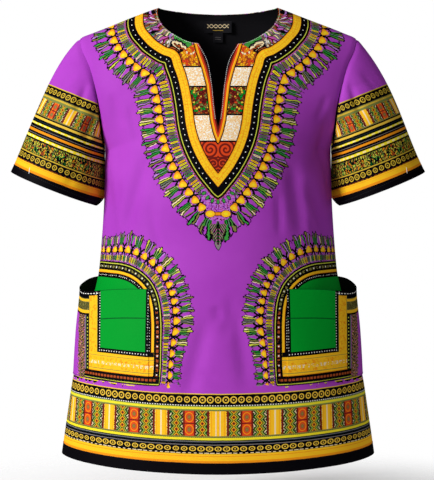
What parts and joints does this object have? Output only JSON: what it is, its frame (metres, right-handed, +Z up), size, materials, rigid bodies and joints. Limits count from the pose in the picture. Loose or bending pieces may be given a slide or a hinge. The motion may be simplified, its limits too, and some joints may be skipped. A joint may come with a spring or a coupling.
{
  "type": "dashiki shirt",
  "caption": "Loose pullover dashiki shirt filled out as worn, with a round neck and front slit, short wide sleeves, bordered hem and side patch pockets that gape",
  "frame": {"origin": "midway between the two points where the shoulder seams meet the neck opening, where the wearer's neck and shoulders hold the shirt", "axes": "+Z up, the front of the shirt faces -Y, +X is the wearer's left"},
  "size_m": [0.698, 0.306, 0.7602],
  "materials": {
    "front": "printed cotton with a soft sheen",
    "back": "printed cotton with a soft sheen",
    "sleeve_left": "printed cotton with a soft sheen",
    "sleeve_right": "printed cotton with a soft sheen",
    "pocket_left": "printed cotton with a soft sheen",
    "pocket_right": "printed cotton with a soft sheen",
    "neck_label": "woven satin",
    "size_tab": "woven satin"
  },
  "bodies": {
    "root": {"front": "front", "back": "back", "sleeve_left": "sleeve_left", "sleeve_right": "sleeve_right", "pocket_left": "pocket_left", "pocket_right": "pocket_right", "neck_label": "neck_label", "size_tab": "size_tab"}
  },
  "joints": []
}
